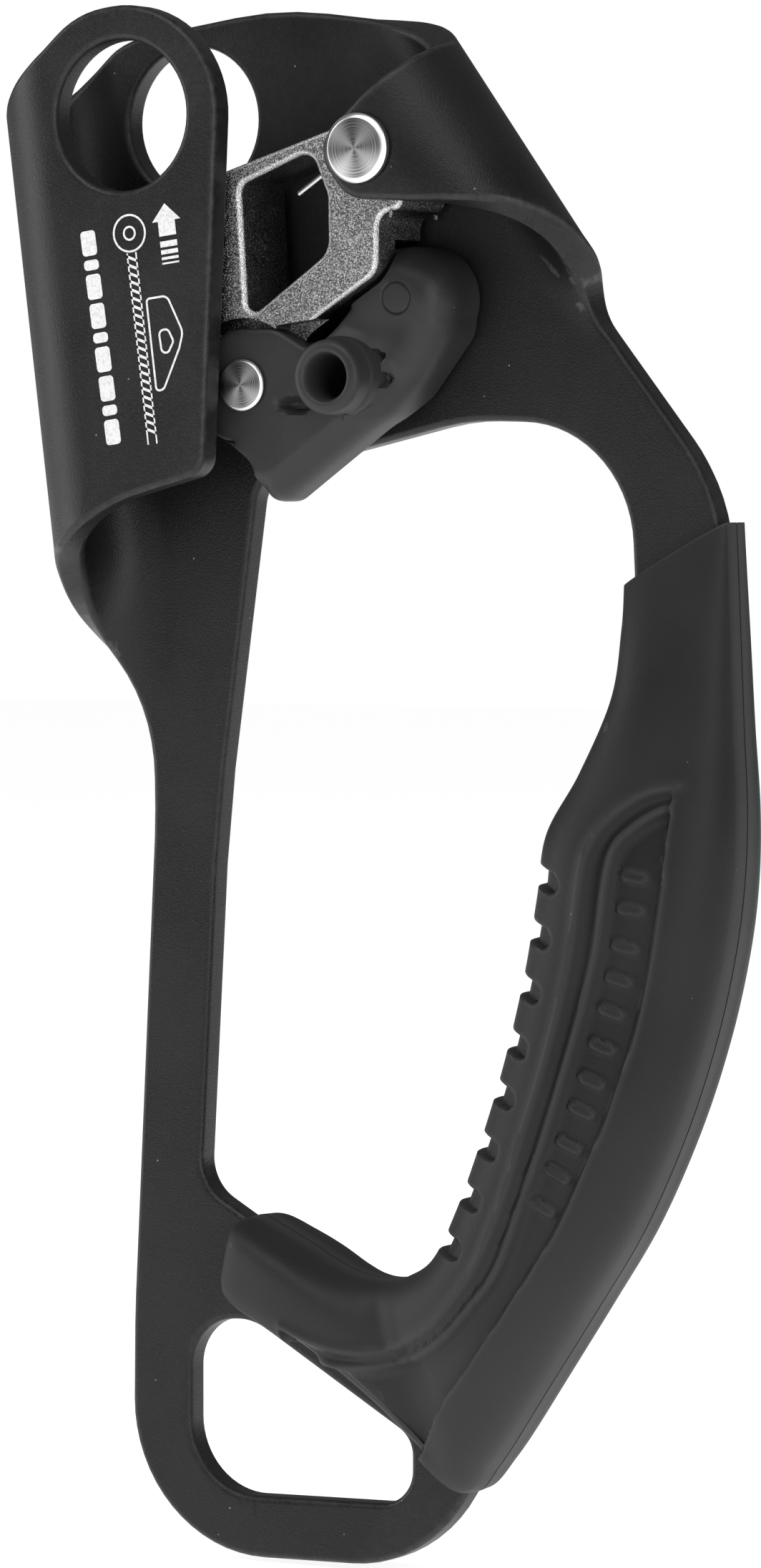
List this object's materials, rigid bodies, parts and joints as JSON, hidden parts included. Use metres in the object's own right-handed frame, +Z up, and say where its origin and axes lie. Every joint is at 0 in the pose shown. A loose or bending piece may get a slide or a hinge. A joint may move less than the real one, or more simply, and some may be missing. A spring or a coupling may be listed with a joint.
{
  "type": "handled rope ascender",
  "caption": "Handled rope ascender: bent alloy plate with rope channel, toothed sprung cam, safety catch, moulded rubber grip, top and lower eyes.",
  "frame": {"origin": "centre of the top eye, in the middle of the rope channel", "axes": "+X from the rope channel towards the handle side, +Y from the flange to the main plate, out of the device's back, +Z up along the rope"},
  "size_m": [0.1012, 0.0328, 0.2001],
  "materials": {
    "black_anodised_alloy": "matte black anodised",
    "cast_chrome_steel": "cast and bright chromed",
    "turned_steel": "turned",
    "bright_steel": "turned and polished",
    "spring_steel": "drawn wire",
    "sintered_bronze": "sintered",
    "grey_black_plastic": "moulded, fine spark texture",
    "black_rubber": "moulded, satin"
  },
  "bodies": {
    "frame_body": {"frame": "black_anodised_alloy", "cam_axle": "turned_steel", "axle_back_washer": "turned_steel", "grip_front": "black_rubber", "grip_back": "black_rubber"},
    "cam_body": {"cam": "cast_chrome_steel", "cam_bush": "sintered_bronze", "cam_spring": "spring_steel", "trigger_rivet": "bright_steel", "trigger_rivet_washer": "bright_steel"},
    "catch_body": {"trigger": "grey_black_plastic", "trigger_lock_pin": "bright_steel", "trigger_spring": "spring_steel"}
  },
  "joints": [
    {"name": "cam_pivot", "type": "hinge", "parent": "frame_body", "child": "cam_body", "pos_m": [0.0352, 0, -0.005], "axis": [0, -1, 0], "range_deg": [0, 40], "stiffness_Nm_per_rad": 0.05, "springref_deg": -20.05, "deforming": ["cam_spring"]},
    {"name": "catch_pivot", "type": "hinge", "parent": "cam_body", "child": "catch_body", "pos_m": [0.0153, 0, -0.0343], "axis": [0, 1, 0], "range_deg": [0, 40], "stiffness_Nm_per_rad": 0.01, "springref_deg": -20.05, "deforming": ["trigger_spring"]}
  ],
  "couplings": [
    {"joint": "catch_pivot", "follows": "cam_pivot", "ratio": 1}
  ]
}
